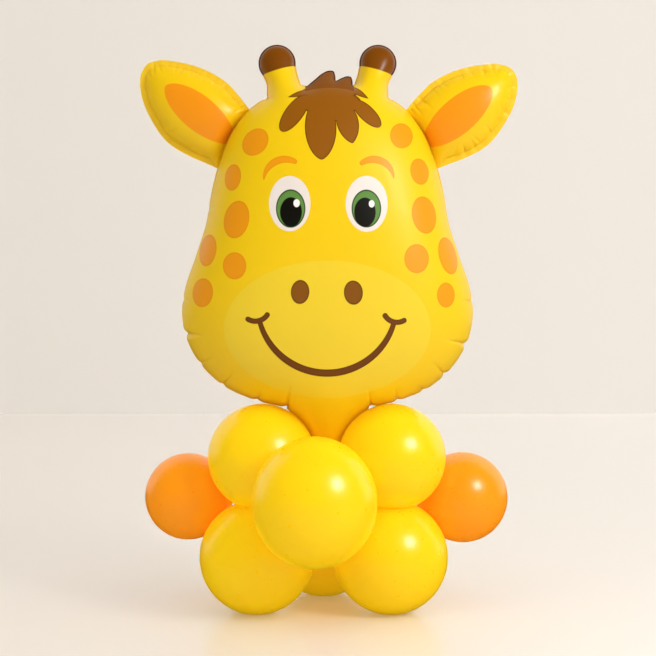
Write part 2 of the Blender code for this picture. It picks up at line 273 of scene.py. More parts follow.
for name, way, strength in SKY_HALVES:
    half_light = bpy.data.lights.new(name, "SUN")
    half_light.angle = SKY_ANGLE
    half_light.energy = strength
    half_light.color = SKY_COLOUR
    half_light.cycles.use_multiple_importance_sampling = False
    room = bpy.data.objects.new(name, half_light)
    room.rotation_euler = (-Vector(way)).to_track_quat("-Z", "Y").to_euler()
    room.visible_glossy = False
    bpy.context.scene.collection.objects.link(room)

world = bpy.data.worlds.new("room_light")
bpy.context.scene.world = world
world.use_nodes = True
world.cycles_visibility.glossy = False
sky = world.node_tree.nodes["Background"]
seen = world.node_tree.nodes.new("ShaderNodeLightPath")
pick = world.node_tree.nodes.new("ShaderNodeMix")
pick.inputs["A"].default_value = SKY_REST
pick.inputs["B"].default_value = SKY_SEEN
world.node_tree.links.new(seen.outputs["Is Camera Ray"], pick.inputs["Factor"])
sky.inputs["Color"].default_value = (*SKY_COLOUR, 1.0)
world.node_tree.links.new(pick.outputs["Result"], sky.inputs["Strength"])


# The latex balloons
# Small round balloons of stretched dipped latex, blown up with air and tied off. The
# necks are gathered in the middle of the base, and each balloon is pressed flat where
# it meets a neighbour or the table.

# Name, centre, radius, and how high the point lies that its neck aims at
LATEX_BALLOONS = (
    ("lower_front_left", (-0.06784, -0.00703, 0.05250), 0.0540, 0.07050),
    ("lower_front_right", (0.05826, -0.00703, 0.05250), 0.0540, 0.07050),
    ("lower_back", (-0.00479, 0.07817, 0.05250), 0.0540, 0.07050),
    ("upper_front_left", (-0.06329, -0.00703, 0.14700), 0.0504, 0.11800),
    ("upper_front_right", (0.05951, -0.00703, 0.14700), 0.0504, 0.11800),
    ("upper_back", (-0.00189, 0.07038, 0.14700), 0.0504, 0.11800),
    ("belly", (-0.01289, -0.07552, 0.11405), 0.0566, 0.10155),
    ("side_left", (-0.13515, 0.02856, 0.10504), 0.0415, 0.10155),
    ("side_right", (0.12870, 0.02851, 0.10415), 0.0433, 0.10155),
)
# The middle of the base across and in depth, where the necks meet
BASE_MIDDLE = (-0.00129, 0.01297)
BELLY_STRETCH = 0.0598 / 0.0566
TOUCH_GAP = 0.0003
PRESS_GAP = 0.00006
PRESS_ROUNDING = 0.00020
BALL_STEPS = 96
BALL_RING = radians(3.0)
SHOULDER_LATITUDE = radians(66.0)
NECK_LENGTH = 0.0075
NECK_RADIUS = 0.0040
NECK_STEP = 0.0011
# The neck out to its rolled lip, as shares of its radius and length, and its closed end
NECK_SHAPE = ((2.40, -0.05), (1.05, 0.40), (1.00, 0.68), (1.30, 0.84), (1.261, 0.97), (1.04, 1.00))
NECK_END = 0.92
# The latex is thicker from this height towards the neck, as shares of the radius
THICK_FROM = 0.55
THICK_SPAN = 0.50

YELLOW_LATEX = (0.93, 0.640, 0.005)
YELLOW_LATEX_DEEP = (0.91, 0.590, 0.004)
ORANGE_LATEX = (0.93, 0.335, 0.008)
ORANGE_LATEX_DEEP = (0.91, 0.290, 0.006)
# Scales of the cloudy colour, the powder and the orange peel, and how much each does
CLOUD_SCALE, CLOUD_SHARE = 22.0, 0.55
POWDER_SCALE, POWDER_SHARE = 160.0, 0.03
PEEL_SCALE, PEEL_STRENGTH, PEEL_HEIGHT = 120.0, 0.4, 0.00004


def curve_through(points, step):
    """Points every step along a smooth curve through the given points, both ends kept."""
    given = np.array(points, float)
    chord = np.r_[0.0, np.cumsum(np.linalg.norm(np.diff(given, axis=0), axis=1))]
    slope = np.gradient(given, chord, axis=0)
    count = max(1, round(chord[-1] / step))
    places = []
    for along in np.linspace(0.0, chord[-1], count + 1):
        i = min(np.searchsorted(chord, along, side="right") - 1, len(chord) - 2)
        span = chord[i + 1] - chord[i]
        t = (along - chord[i]) / span
        near = (2 * t**3 - 3 * t**2 + 1) * given[i] + (t**3 - 2 * t**2 + t) * span * slope[i]
        far = (3 * t**2 - 2 * t**3) * given[i + 1] + (t**3 - t**2) * span * slope[i + 1]
        places.append(tuple(near + far))
    return places


def balloon_side(radius):
    """Half outline of a balloon whose neck points along +Z, from its crown to its rolled lip."""
    count = round((SHOULDER_LATITUDE + pi / 2) / BALL_RING)
    round_part = [
        (radius * cos(a), radius * sin(a)) for a in np.linspace(-pi / 2, SHOULDER_LATITUDE, count)
    ]
    neck = [(r * NECK_RADIUS, radius + z * NECK_LENGTH) for r, z in NECK_SHAPE]
    neck = curve_through([round_part[-1]] + neck, NECK_STEP)
    return [(0.0, -radius)] + round_part[1:] + neck[1:] + [(0.0, radius + NECK_END * NECK_LENGTH)]


def contact_planes(index):
    """Where one balloon is pressed flat: a point of each plane and the way out through it."""
    _, centre, radius, _ = LATEX_BALLOONS[index]
    centre = Vector(centre)
    planes = [(Vector((0, 0, 0)), Vector((0, 0, -1)))]
    for other, (_, there, reach, _) in enumerate(LATEX_BALLOONS):
        between = Vector(there) - centre
        apart = between.length
        if other != index and apart < radius + reach + TOUCH_GAP:
            share = (apart**2 + radius**2 - reach**2) / (2 * apart)
            outward = between / apart
            planes.append((centre + outward * (share - PRESS_GAP / 2), outward))
    return planes


def press_flat(form, planes):
    """Moves what lies past a plane back onto it, with a small rounding round the flat."""
    for vert in form.verts:
        for point, outward in planes:
            past = (vert.co - point).dot(outward)
            eased = (past - sqrt(past * past + 4 * PRESS_ROUNDING**2)) / 2
            vert.co += outward * (eased - past)


def latex_form(index):
    """One balloon: a turned profile, its neck aimed inwards, pressed flat where it touches."""
    name, centre, radius, knot_level = LATEX_BALLOONS[index]
    form = bmesh.new()
    thickness = form.verts.layers.float.new("thickness")
    ring = [form.verts.new((r, 0.0, z)) for r, z in balloon_side(radius)]
    line = [form.edges.new(pair) for pair in zip(ring, ring[1:])]
    bmesh.ops.spin(
        form,
        geom=ring + line,
        cent=(0, 0, 0),
        axis=(0, 0, 1),
        angle=2 * pi,
        steps=BALL_STEPS,
        use_merge=True,
    )
    bmesh.ops.remove_doubles(form, verts=form.verts, dist=1e-6)
    bmesh.ops.recalc_face_normals(form, faces=form.faces)
    for vert in form.verts:
        toward_neck = (vert.co.z / radius - THICK_FROM) / THICK_SPAN
        vert[thickness] = min(1.0, max(0.0, toward_neck)) ** 2
    knot_depth = centre[1] if name.startswith("side") else BASE_MIDDLE[1]
    knot = Vector((BASE_MIDDLE[0], knot_depth, knot_level))
    aimed = (knot - Vector(centre)).to_track_quat("Z", "Y").to_matrix().to_4x4()
    tall = Matrix.Scale(BELLY_STRETCH if name == "belly" else 1.0, 4, (0, 0, 1))
    place = Matrix.Translation(Vector(centre)) @ tall @ aimed
    bmesh.ops.transform(form, matrix=place, verts=form.verts)
    press_flat(form, contact_planes(index))
    return form


def new_group(name, ins, outs):
    """A shader node group, its inputs as fields and its outputs' sockets. ins gives (name,
    kind, value) and outs gives (name, kind)."""
    group = bpy.data.node_groups.new(name, "ShaderNodeTree")
    for label, kind, value in ins:
        socket = group.interface.new_socket(label, in_out="INPUT", socket_type="NodeSocket" + kind)
        if value is not None:
            socket.default_value = value
    for label, kind in outs:
        group.interface.new_socket(label, in_out="OUTPUT", socket_type="NodeSocket" + kind)
    given = group.nodes.new("NodeGroupInput")
    put = group.nodes.new("NodeGroupOutput")
    return group, {label: Field(group, given.outputs[label]) for label, *_ in ins}, put.inputs


def use_group(tree, group, values):
    """Places a node group in a material, and gives what it puts out by name."""
    node = tree.nodes.new("ShaderNodeGroup")
    node.node_tree = group
    feed_all(node, values)
    return {socket.name: Field(tree, socket) for socket in node.outputs}


def attribute(tree, name):
    node = tree.nodes.new("ShaderNodeAttribute")
    node.attribute_name = name
    return Field(tree, node.outputs["Fac"])


def noise(place, scale, detail=2.0):
    node = place.tree.nodes.new("ShaderNodeTexNoise")
    feed_all(node, {"Vector": place, "Scale": scale, "Detail": detail})
    return Field(place.tree, node.outputs["Fac"])


def bump(height, strength, distance):
    node = height.tree.nodes.new("ShaderNodeBump")
    feed_all(node, {"Height": height, "Strength": strength, "Distance": distance})
    return Field(height.tree, node.outputs["Normal"])


def make_latex_skin():
    """Stretched latex: a little deeper in colour where it is thicker, with soft cloudy
    variation, a faint orange-peel surface and a trace of powder."""
    group, given, put = new_group(
        "latex_skin",
        (
            ("Place", "Vector", None),
            ("Thickness", "Float", 0.0),
            ("Thin Colour", "Color", None),
            ("Thick Colour", "Color", None),
            ("Roughness", "Float", 0.3),
        ),
        (("Colour", "Color"), ("Roughness", "Float"), ("Height", "Float")),
    )
    place = given["Place"]
    cloud = noise(place, CLOUD_SCALE) * CLOUD_SHARE
    depth = cloud.math("ADD", given["Thickness"], clamp=True)
    powder = noise(place, POWDER_SCALE) - 0.5
    feed(mix(depth, given["Thin Colour"], given["Thick Colour"]), put["Colour"])
    feed(powder * POWDER_SHARE + given["Roughness"], put["Roughness"])
    feed(noise(place, PEEL_SCALE, 1.0), put["Height"])
    return group


latex_skin = make_latex_skin()


def latex_material(name, thin, thick):
    """Latex lets light in: it scatters deep for red and yellow light and hardly for blue."""
    material, tree, shader = new_material(name)
    skin = use_group(
        tree,
        latex_skin,
        {
            "Place": object_place(tree),
            "Thickness": attribute(tree, "thickness"),
            "Thin Colour": thin,
            "Thick Colour": thick,
            "Roughness": 0.28,
        },
    )
    feed_all(
        shader,
        {
            "Base Color": skin["Colour"],
            "Roughness": skin["Roughness"],
            "Normal": bump(skin["Height"], PEEL_STRENGTH, PEEL_HEIGHT),
            # Painted glow: the latex gives off a little light in its own colour, which lifts its
            # shade between the balloons.
            "Emission Color": skin["Colour"],
            "Emission Strength": 0.20,
            "Specular IOR Level": 0.85,
            "Subsurface Weight": 0.60,
            "Subsurface Radius": (1.0, 0.80, 0.05),
            "Subsurface Scale": 0.030,
        },
    )
    return material


latex = {
    "yellow_latex": latex_material("yellow_latex", YELLOW_LATEX, YELLOW_LATEX_DEEP),
    "orange_latex": latex_material("orange_latex", ORANGE_LATEX, ORANGE_LATEX_DEEP),
}
for index, (name, *_) in enumerate(LATEX_BALLOONS):
    slot = "orange_latex" if name.startswith("side") else "yellow_latex"
    balloon = place_piece(name + "_latex", latex_form(index), latex[slot])
    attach(balloon, "root")
    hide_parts("balloon_" + name)


# The head
# Two sheets of printed plastic film with a thin metal coat, welded all round along a
# narrow strip and blown up. The film can't stretch, so the weld draws it into short
# creases. Horns, tuft and the flat filling neck are cut from the same two sheets.

HEAD_WIDTH = 0.2758
HEAD_HEIGHT = 0.3033
HEAD_DEPTH = 0.1500
HEAD_WELD = 0.0012
WELD_THICKNESS = 0.0008
WELD_LEAN = 0.0022
FOIL_REST_GAP = 0.0008
FOIL_NECK_LENGTH = 0.0460
FOIL_NECK_GAP = 0.0012
HORN_SPREAD = 0.0474
HORN_RISE = 0.0212
HORN_BALL_RADIUS = 0.01745
HORN_STEM_WIDTH = 0.0320
TUFT_LEFT = -0.0194
TUFT_WIDTH = 0.0432
TUFT_HEIGHT = 0.0147
HORN_BALL_SPAN = (radians(-37.0), radians(185.0))
# How high the stems leave the head outside and inside, as shares of the horn's rise, and
# how far the inner side has leant over to the ball by a share of that rise
HORN_OUTER_FOOT = 0.05
HORN_INNER_FOOT = 0.07
HORN_LEAN = (0.55, 0.45)
HEAD_EDGE_STEP = 0.0010
RIM_ANGLE = radians(60.0)
HEAD_CELL = 0.0024
CHIN_Z = 0.19253
CROWN_Z = CHIN_Z + HEAD_HEIGHT
# The weld leans back up to this share of the head's height, and straightens over this stretch
LEAN_TOP = 0.70
LEAN_FADE = 0.02

# Half of the outline from the chin to a horn's foot, as shares of half the width and of the height
HEAD_SIDE = (
    (0.290, 0.000), (0.400, 0.010), (0.520, 0.026), (0.700, 0.063), (0.850, 0.122),
    (0.950, 0.193), (1.000, 0.290), (0.985, 0.357), (0.900, 0.478), (0.832, 0.575),
    (0.797, 0.665), (0.740, 0.765), (0.655, 0.860), (0.530, 0.930), (0.415, 0.966),
)
# The tuft: a long lobe and a short one, as shares of its width and height
TUFT_LONG = (
    (0.00, 0.00), (0.18, 0.44), (0.34, 0.82), (0.50, 0.99), (0.58, 0.95), (0.615, 0.70),
    (0.625, 0.38),
)
TUFT_SHORT = (
    (0.635, 0.34), (0.77, 0.53), (0.88, 0.63), (0.96, 0.58), (0.99, 0.36), (1.00, 0.02),
)

# Creases: where each starts on the weld and where it dies out, from the middle of the
# head, how deep the line is, and how far the weld is drawn in
HEAD_CREASES = (
    (-0.1364, 0.2954, -0.1270, 0.2950, 0.0008, 0.0010),
    (-0.1326, 0.2632, -0.1140, 0.2626, 0.0018, 0.0030),
    (-0.1194, 0.2347, -0.1050, 0.2450, 0.0010, 0.0016),
    (-0.0976, 0.2163, -0.0860, 0.2290, 0.0010, 0.0016),
    (-0.0668, 0.1997, -0.0600, 0.2130, 0.0010, 0.0018),
    (-0.0379, 0.1935, -0.0345, 0.2190, 0.0018, 0.0020),
    (0.0422, 0.1926, 0.0370, 0.2160, 0.0018, 0.0020),
    (0.0668, 0.1987, 0.0615, 0.2150, 0.0014, 0.0018),
    (0.0914, 0.2092, 0.0840, 0.2180, 0.0014, 0.0014),
    (0.1099, 0.2253, 0.0960, 0.2390, 0.0015, 0.0022),
    (0.1285, 0.2537, 0.1090, 0.2590, 0.0018, 0.0030),
    (0.1336, 0.2935, 0.1240, 0.2955, 0.0008, 0.0010),
    (-0.1150, 0.3810, -0.0990, 0.3815, 0.0006, 0.0006),
    (-0.0590, 0.4850, -0.0500, 0.4810, 0.0018, 0.0010),
    (0.0600, 0.4850, 0.0530, 0.4815, 0.0006, 0.0006),
)
CREASE_WIDTH = 0.0009
# A crease's line: how its width grows from the weld inwards, as shares, and how square its
# sides are
CREASE_GROWTH = (0.8, 1.2)
CREASE_SQUARE = 1.3
CREASE_FADE = 0.8
CREASE_DEEPER = 1.25
PUFF_SHARE = 0.25
PUFF_ASIDE = 0.0050
PUFF_SPREAD = 0.0034
CREASE_ROWS = (0.0, 0.0006, 0.0013, 0.0022, 0.0033)
CREASE_CLEAR = 0.0042
NOTCH_REACH = 0.0034
# Rows of points inside the weld, as shares of a cell, kept where they are this share of
# their depth from the edge, and how many cells the even field keeps off the weld
WELD_ROWS = (0.0, 0.12, 0.38, 0.80, 1.40)
ROW_KEPT = 0.97
FIELD_CLEAR = 2.1
# Points along a crease are this much closer than the field's, and start off the weld by
# this many weld widths
CREASE_CLOSER = 0.6
CREASE_OFF_WELD = 1.3
# The film is free to rise from this many weld widths
FREE_FROM = 1.02
# The bulge is worked out in steps until what is left to settle is small enough
SETTLE_STEPS = 3000
SETTLED = 1e-14
# How much fuller the foil's shoulders are than an even skin's
FULLER = 0.5
# The most that a crease may take of the bulge, so that the two films never meet
CREASE_LIMIT = 0.45


def arc_points(centre, radius, start, end, step):
    """Points along an arc of a circle in the seam plane."""
    count = max(1, round(abs(end - start) * radius / step))
    angles = np.linspace(start, end, count + 1)
    return [(centre[0] + radius * cos(a), centre[1] + radius * sin(a)) for a in angles]


def joined(*stretches):
    """One run of points from several, without the doubles where they meet."""
    run = []
    for stretch in stretches:
        for point in stretch:
            if not run or sqrt((point[0] - run[-1][0]) ** 2 + (point[1] - run[-1][1]) ** 2) > 1e-4:
                run.append(point)
    return run


def head_side():
    return [(x * HEAD_WIDTH / 2, CHIN_Z + z * HEAD_HEIGHT) for x, z in HEAD_SIDE]


def neck_side(beside):
    """One side of the flat filling neck, from its end up: it follows the balloon beside it."""
    centre, radius = next(row[1:3] for row in LATEX_BALLOONS if row[0] == beside)
    way = 1 if centre[0] > HEAD_X else -1
    reach = sqrt((radius + FOIL_NECK_GAP) ** 2 - (SEAM_Y - centre[1]) ** 2)
    low = CHIN_Z - FOIL_NECK_LENGTH
    levels = np.arange(low, CHIN_Z - HEAD_EDGE_STEP, HEAD_EDGE_STEP)
    corner = HEAD_SIDE[0][0] * HEAD_WIDTH / 2
    side = []
    for z in levels:
        beside_x = centre[0] - HEAD_X - way * sqrt(max(0.0, reach**2 - (z - centre[2]) ** 2))
        side.append((way * min(way * beside_x, corner), z))
    return side


def head_outline():
    """The outer edge of the weld, counter-clockwise from the end of the filling neck."""
    step = HEAD_EDGE_STEP
    side = head_side()
    foot_x = side[-1][0]
    ball = arc_points((HORN_SPREAD, CROWN_Z + HORN_RISE), HORN_BALL_RADIUS, *HORN_BALL_SPAN, step)
    outer_foot = (foot_x, CROWN_Z + HORN_RISE * HORN_OUTER_FOOT)
    inner_x = foot_x - HORN_STEM_WIDTH
    inner_foot = (inner_x, CROWN_Z + HORN_RISE * HORN_INNER_FOOT)
    over, up = HORN_LEAN
    lean_in = (inner_x + (ball[-1][0] - inner_x) * over, CROWN_Z + HORN_RISE * up)
    outer = curve_through([side[-1], outer_foot, ball[0]], step)
    inner = curve_through([ball[-1], lean_in, inner_foot], step)
    right = joined(curve_through(side, step), outer, ball, inner)
    lobes = []
    for lobe in (TUFT_SHORT, TUFT_LONG):
        edge = [(TUFT_LEFT + x * TUFT_WIDTH, CROWN_Z + z * TUFT_HEIGHT) for x, z in reversed(lobe)]
        lobes.append(curve_through(edge, step))
    left = [(-x, z) for x, z in reversed(right)]
    whole = joined(neck_side("upper_front_right"), right, *lobes, left)
    return notched(joined(whole, reversed(neck_side("upper_front_left"))), HEAD_CREASES)


def ways_in(edge):
    """The direction straight in from each point of a closed outline."""
    run = np.roll(edge, -1, axis=0) - np.roll(edge, 1, axis=0)
    inward = np.stack([-run[:, 1], run[:, 0]], axis=1) / np.linalg.norm(run, axis=1)[:, None]
    after = np.roll(edge, -1, axis=0)
    return inward * np.sign((edge[:, 0] * after[:, 1] - after[:, 0] * edge[:, 1]).sum())


def notched(outline, creases):
    """Draws a weld in where its creases start, so that the film puffs out between them."""
    edge = np.array(outline)
    passed, whole = passed_lengths(edge)
    drawn = np.zeros(len(edge))
    for x, z, *_, notch in creases:
        start = passed[np.argmin(np.hypot(edge[:, 0] - x, edge[:, 1] - z))]
        gap = np.abs((passed - start + whole / 2) % whole - whole / 2)
        drawn = np.maximum(drawn, notch * np.exp(-gap / NOTCH_REACH))
    return [tuple(point) for point in edge + ways_in(edge) * drawn[:, None]]


def passed_lengths(edge):
    """How far along a closed outline each of its points lies, and the outline's length."""
    size = np.linalg.norm(np.roll(edge, -1, axis=0) - edge, axis=1)
    return np.cumsum(size) - size, size.sum()


def edge_places(points, outline):
    """Distance of each point to the nearest edge of a closed outline, and how far along
    the outline that nearest place lies."""
    start = np.array(outline)
    edge = np.roll(start, -1, axis=0) - start
    length = np.linalg.norm(edge, axis=1)
    passed = np.cumsum(length) - length
    nearest = np.full(len(points), np.inf)
    along = np.zeros(len(points))
    for a, e, size, before in zip(start, edge, length, passed):
        t = np.clip(((points - a) @ e) / size**2, 0.0, 1.0)
        gap = np.linalg.norm(points - a - t[:, None] * e, axis=1)
        closer = gap < nearest
        nearest[closer] = gap[closer]
        along[closer] = before + t[closer] * size
    return nearest, along


def distance_to(points, outline):
    return edge_places(points, outline)[0]


def weld_beside(along, outline, weld):
    """The weld's width at places along the outline. It is one width or one for each point."""
    edge = np.array(outline + outline[:1])
    passed = np.r_[0.0, np.cumsum(np.linalg.norm(np.diff(edge, axis=0), axis=1))]
    widths = np.broadcast_to(weld, len(outline))
    return np.interp(along, passed, np.r_[widths, widths[:1]])


def inside(points, outline):
    """Which points lie inside a closed outline."""
    found = np.zeros(len(points), bool)
    for (ax, az), (bx, bz) in zip(outline, outline[1:] + outline[:1]):
        level = (az > points[:, 1]) != (bz > points[:, 1])
        if level.any():
            cross = ax + (points[:, 1] - az) * (bx - ax) / (bz - az)
            found ^= level & (points[:, 0] < cross)
    return found


def crease_frame(points, crease):
    """Places of points beside a crease: how far along it, how far aside, and its length."""
    start = np.array(crease[0:2])
    run = np.array(crease[2:4]) - start
    length = np.linalg.norm(run)
    run /= length
    off = points - start
    return off @ run, off[:, 0] * run[1] - off[:, 1] * run[0], length


def cut_sheet(outline, weld, cell, creases):
    """Points and triangles of a flat sheet: its edge, rows that close up on the weld, rows
    beside each crease, and an even field."""
    edge = np.array(outline)
    inward = ways_in(edge)
    kept = [edge]
    for share in WELD_ROWS:
        depth = np.broadcast_to(weld, len(edge)) + cell * share
        row = edge + inward * depth[:, None]
        clear = inside(row, outline) & (distance_to(row, outline) > ROW_KEPT * depth)
        kept.append(row[clear])
    low, high = edge.min(axis=0), edge.max(axis=0)
    field = []
    for i, z in enumerate(np.arange(low[1], high[1], cell * sqrt(0.75))):
        field += [(x, z) for x in np.arange(low[0] + (i % 2) * cell / 2, high[0], cell)]
    field = np.array(field)
    inset, near = edge_places(field, outline)
    inner = weld_beside(near, outline, weld) + cell * FIELD_CLEAR
    clear = inside(field, outline) & (inset > inner)
    for crease in creases:
        along, aside, length = crease_frame(field, crease)
        clear &= (np.abs(aside) > CREASE_CLEAR) | (along < 0) | (along > length)
        start, end = np.array(crease[0:2]), np.array(crease[2:4])
        run = (end - start) / length
        sideways = np.array((run[1], -run[0]))
        steps = np.linspace(0.0, length, round(length / (cell * CREASE_CLOSER)))
        for aside in CREASE_ROWS:
            for way in (-1, 1) if aside else (1,):
                row = start + steps[:, None] * run + way * aside * sideways
                inset, near = edge_places(row, outline)
                off_weld = inset > weld_beside(near, outline, weld) * CREASE_OFF_WELD
                kept.append(row[inside(row, outline) & off_weld])
    kept.append(field[clear])
    rim = [(i, (i + 1) % len(outline)) for i in range(len(outline))]
    flat = [Vector(p) for p in np.concatenate(kept)]
    places, _, faces, *_ = delaunay_2d_cdt(flat, rim, [list(range(len(outline)))], 1, 1e-7)
    return np.array([tuple(p) for p in places]), np.array(faces)


def blown_share(points, faces, free):
    """How far a blown-up sheet stands off its flat outline, from 0 on the weld to 1 at its
    top: the bulge of an even skin, with the fuller shoulders of foil."""
    count = len(points)
    load = np.zeros(count)
    first, second, pull = [], [], []
    for a, b, c in ((0, 1, 2), (1, 2, 0), (2, 0, 1)):
        u = points[faces[:, a]] - points[faces[:, c]]
        v = points[faces[:, b]] - points[faces[:, c]]
        twice_area = np.abs(u[:, 0] * v[:, 1] - u[:, 1] * v[:, 0])
        first.append(faces[:, a])
        second.append(faces[:, b])
        pull.append((u * v).sum(axis=1) / twice_area / 2)
        load += np.bincount(faces[:, c], twice_area / 6, count)
    first, second, pull = map(np.concatenate, (first, second, pull))
    stiff = np.bincount(first, pull, count) + np.bincount(second, pull, count)
    stiff = np.where(np.abs(stiff) < 1e-9, 1.0, stiff)

    def tension(level):
        flow = pull * (level[first] - level[second])
        return (np.bincount(first, flow, count) - np.bincount(second, flow, count)) * free

    bulge = np.zeros(count)
    left = load * free
    eased = left / stiff
    step = eased.copy()
    power = left @ eased
    start = power
    for _ in range(SETTLE_STEPS):
        reply = tension(step)
        share = power / (step @ reply)
        bulge += share * step
        left -= share * reply
        eased = left / stiff
        new_power = left @ eased
        if new_power < SETTLED * start:
            break
        step = eased + step * (new_power / power)
        power = new_power
    level = np.clip(bulge / bulge.max(), 0.0, 1.0)
    return np.sqrt(level * (1.0 + FULLER - FULLER * level))


def rest_limits(points):
    """How far the front and back sheets can bulge before they lie on a latex balloon."""
    ahead = np.full(len(points), np.inf)
    behind = np.full(len(points), np.inf)
    for _, centre, radius, _ in LATEX_BALLOONS:
        across = points[:, 0] + HEAD_X - centre[0]
        reach = radius**2 - across**2 - (points[:, 1] - centre[2]) ** 2
        met = reach > 0
        half_chord = np.sqrt(reach[met])
        if centre[1] > SEAM_Y:
            room = centre[1] - half_chord - SEAM_Y - FOIL_REST_GAP
            behind[met] = np.minimum(behind[met], room)
        else:
            room = SEAM_Y - centre[1] - half_chord - FOIL_REST_GAP
            ahead[met] = np.minimum(ahead[met], room)
    return ahead, behind


def crease_depths(points, creases):
    """How deep the creases draw the film in at each flat place. A crease is sharp on the
    weld, widens inwards as it dies out, and the film puffs out a little on both sides."""
    drawn = np.zeros(len(points))
    narrow, growth = CREASE_GROWTH
    for crease in creases:
        along, aside, length = crease_frame(points, crease)
        t = np.clip(along / length, 0.0, 1.0)
        aside = np.abs(aside)
        width = CREASE_WIDTH * (narrow + growth * t)
        valley = np.exp(-((aside / width) ** CREASE_SQUARE)) * (1.0 - t) ** CREASE_FADE
        puff = np.exp(-(((aside - PUFF_ASIDE) / PUFF_SPREAD) ** 2)) * (1.0 - t) ** 2
        drawn += CREASE_DEEPER * crease[4] * (valley - PUFF_SHARE * puff) * (along > -length)
    return drawn


def film_form(outline, weld, cell, depth, seam_y, creases, lean=None, softness=1.0):
    """A closed foil pillow: front and back sheets that meet in a flat weld. The softer it
    is, the flatter it rises from the weld."""
    points, faces = cut_sheet(outline, weld, cell, creases)
    inset, along = edge_places(points, outline)
    weld = weld_beside(along, outline, weld)
    share = blown_share(points, faces, inset > weld * FREE_FROM) ** softness
    height = share * (depth - WELD_THICKNESS) / 2 + WELD_THICKNESS / 2
    ahead, behind = rest_limits(points)
    count = len(points)
    outer = np.zeros(count)
    if lean:
        outer = np.clip(1.0 - inset / weld, 0.0, 1.0) * lean(points[:, 1])
    sheets = (outer - np.minimum(height, ahead), outer + np.minimum(height, behind))
    places = np.concatenate([np.stack([points[:, 0], y, points[:, 1]], axis=1) for y in sheets])
    edge = np.arange(len(outline))
    after = np.roll(edge, -1)
    corners = np.concatenate(
        [
            faces,
            faces[:, ::-1] + count,
            np.stack([after, edge, edge + count], axis=1),
            np.stack([after, edge + count, after + count], axis=1),
        ]
    )
    a, b, c = (places[corners[:, i]] for i in range(3))
    facing = np.cross(b - a, c - a)
    normal = np.zeros_like(places)
    for i in range(3):
        np.add.at(normal, corners[:, i], facing)
    if (facing * (a - places.mean(axis=0))).sum() < 0:
        normal = -normal
    normal /= np.linalg.norm(normal, axis=1)[:, None]
    drawn = np.tile(np.minimum(crease_depths(points, creases), height * CREASE_LIMIT), 2)
    places -= normal * drawn[:, None]
    places += (HEAD_X, seam_y, 0.0)
    form = bmesh.new()
    from_edge = form.verts.layers.float.new("inset")
    round_edge = form.verts.layers.float.new("along")
    verts = [form.verts.new(place) for place in places]
    for vert, deep, far in zip(verts, np.tile(inset - weld, 2), np.tile(along, 2)):
        vert[from_edge] = deep
        vert[round_edge] = far
    for triangle in corners:
        form.faces.new([verts[i] for i in triangle])
    bmesh.ops.recalc_face_normals(form, faces=form.faces)
    return form


def head_lean(level):
    """The weld leans back below the ears and stands straight above them."""
    return WELD_LEAN * np.clip((CHIN_Z + LEAN_TOP * HEAD_HEIGHT - level) / LEAN_FADE, 0.0, 1.0)


YELLOW_FILM = (0.93, 0.620, 0.003)
MUZZLE_YELLOW = (0.91, 0.660, 0.026)
SPOT_ORANGE = (0.91, 0.345, 0.003)
SPOT_EDGE = (0.86, 0.300, 0.003)
HAIR_BROWN = (0.305, 0.100, 0.002)
TUFT_BROWN = (0.235, 0.072, 0.002)
HORN_BROWN = (0.210, 0.062, 0.002)
NOSTRIL_BROWN = (0.262, 0.087, 0.002)
SMILE_BROWN = (0.190, 0.051, 0.002)
# Dark brown of the printed outlines, also painted as shade along the weld of the tuft and the horn
# ends
OUTLINE_AND_WELD_SHADE_BROWN = (0.100, 0.026, 0.002)
EYE_WHITE = (0.86, 0.79, 0.74)
IRIS_GREEN = (0.125, 0.290, 0.060)
IRIS_EDGE = (0.020, 0.055, 0.012)
PUPIL_BLACK = (0.007, 0.006, 0.003)
GLINT_WHITE = (0.97, 0.96, 0.94)
# Painted sheen: the paler colour laid over a weld strip where it shines
WELD_PAINTED_SHEEN = (0.97, 0.76, 0.14)
PRINT_EDGE = 0.00035
RIM_WIDTH = 0.0008
IRIS_RIM_WIDTH = 0.0010

# Printed ovals: place across and up, half width and half height, tilt in degrees
SPOTS = (
    (-0.0660, 0.4403, 0.0113, 0.0136, -40.0),
    (-0.0868, 0.4082, 0.0078, 0.0122, -5.4),
    (-0.0829, 0.3694, 0.0118, 0.0173, -11.8),
    (-0.1106, 0.3414, 0.0087, 0.0147, -8.9),
    (-0.0845, 0.3273, 0.0109, 0.0123, 0.0),
    (-0.1150, 0.3024, 0.0101, 0.0133, -7.3),
    (0.0679, 0.4463, 0.0107, 0.0119, -10.1),
    (0.0845, 0.4135, 0.0088, 0.0122, 8.8),
    (0.0883, 0.3736, 0.0115, 0.0171, 9.4),
    (0.1112, 0.3363, 0.0090, 0.0174, 14.3),
    (0.0810, 0.3338, 0.0114, 0.0132, 0.0),
    (0.1087, 0.3004, 0.0086, 0.0114, 1.3),
)
MUZZLE = (0.0, 0.2690, 0.0945, 0.0632, 0.0)
EYE_WHITES = ((-0.0341, 0.3835, 0.0188, 0.0250, 0.0), (0.0354, 0.3833, 0.0190, 0.0253, 0.0))
IRISES = ((-0.0332, 0.3790, 0.0133, 0.0173, 0.0), (0.0351, 0.3790, 0.0134, 0.0171, 0.0))
PUPILS = ((-0.0329, 0.3759, 0.0099, 0.0133, 0.0), (0.0338, 0.3757, 0.0097, 0.0132, 0.0))
GLINTS = ((-0.0278, 0.3838, 0.0029, 0.0036, 0.0), (0.0399, 0.3833, 0.0026, 0.0033, 0.0))
NOSTRILS = ((-0.0247, 0.3038, 0.0083, 0.0108, -4.3), (0.0234, 0.3032, 0.0085, 0.0109, 4.3))
HAIR_ROOTS = (
    (0.0032, 0.4761, 0.0280, 0.0127, 0.0),
    (0.0023, 0.4870, 0.0262, 0.0085, 0.0),
    (0.0094, 0.4640, 0.0085, 0.0055, 0.0),
)
